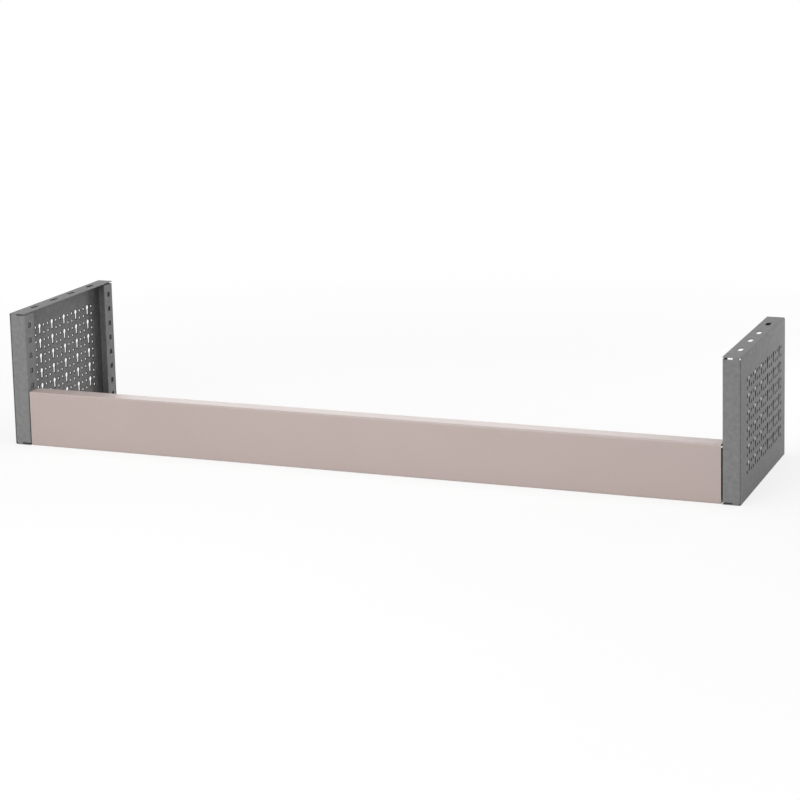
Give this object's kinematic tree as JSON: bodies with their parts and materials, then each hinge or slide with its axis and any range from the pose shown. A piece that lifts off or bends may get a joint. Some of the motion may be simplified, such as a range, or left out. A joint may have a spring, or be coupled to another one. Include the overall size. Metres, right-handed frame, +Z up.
{
  "type": "crossbeam with perforated end panels",
  "caption": "Folded steel crossbeam bolted between two perforated end panels with square holes, keyholes and slotted edges.",
  "frame": {"origin": "under the middle of the assembly, on the plane that it stands on", "axes": "+X along the beam to the right-hand panel, +Y from front to rear, +Z up"},
  "size_m": [1.82, 0.44, 0.33],
  "materials": {
    "beam_paint": "pale pinkish beige powder coat, satin",
    "panel_paint": "mid grey powder coat with a fine texture",
    "bracket_paint": "dark grey powder coat",
    "zinc_plate": "zinc plated"
  },
  "bodies": {
    "root": {"crossbeam": "beam_paint", "left_outer_skin": "panel_paint", "left_front_post": "panel_paint", "left_rear_post": "panel_paint", "left_end_bracket": "bracket_paint", "right_outer_skin": "panel_paint", "right_front_post": "panel_paint", "right_rear_post": "panel_paint", "right_end_bracket": "bracket_paint", "bracket_bolts": "zinc_plate", "head_washers": "zinc_plate", "nut_washers": "zinc_plate", "bracket_nuts": "zinc_plate"}
  },
  "joints": []
}
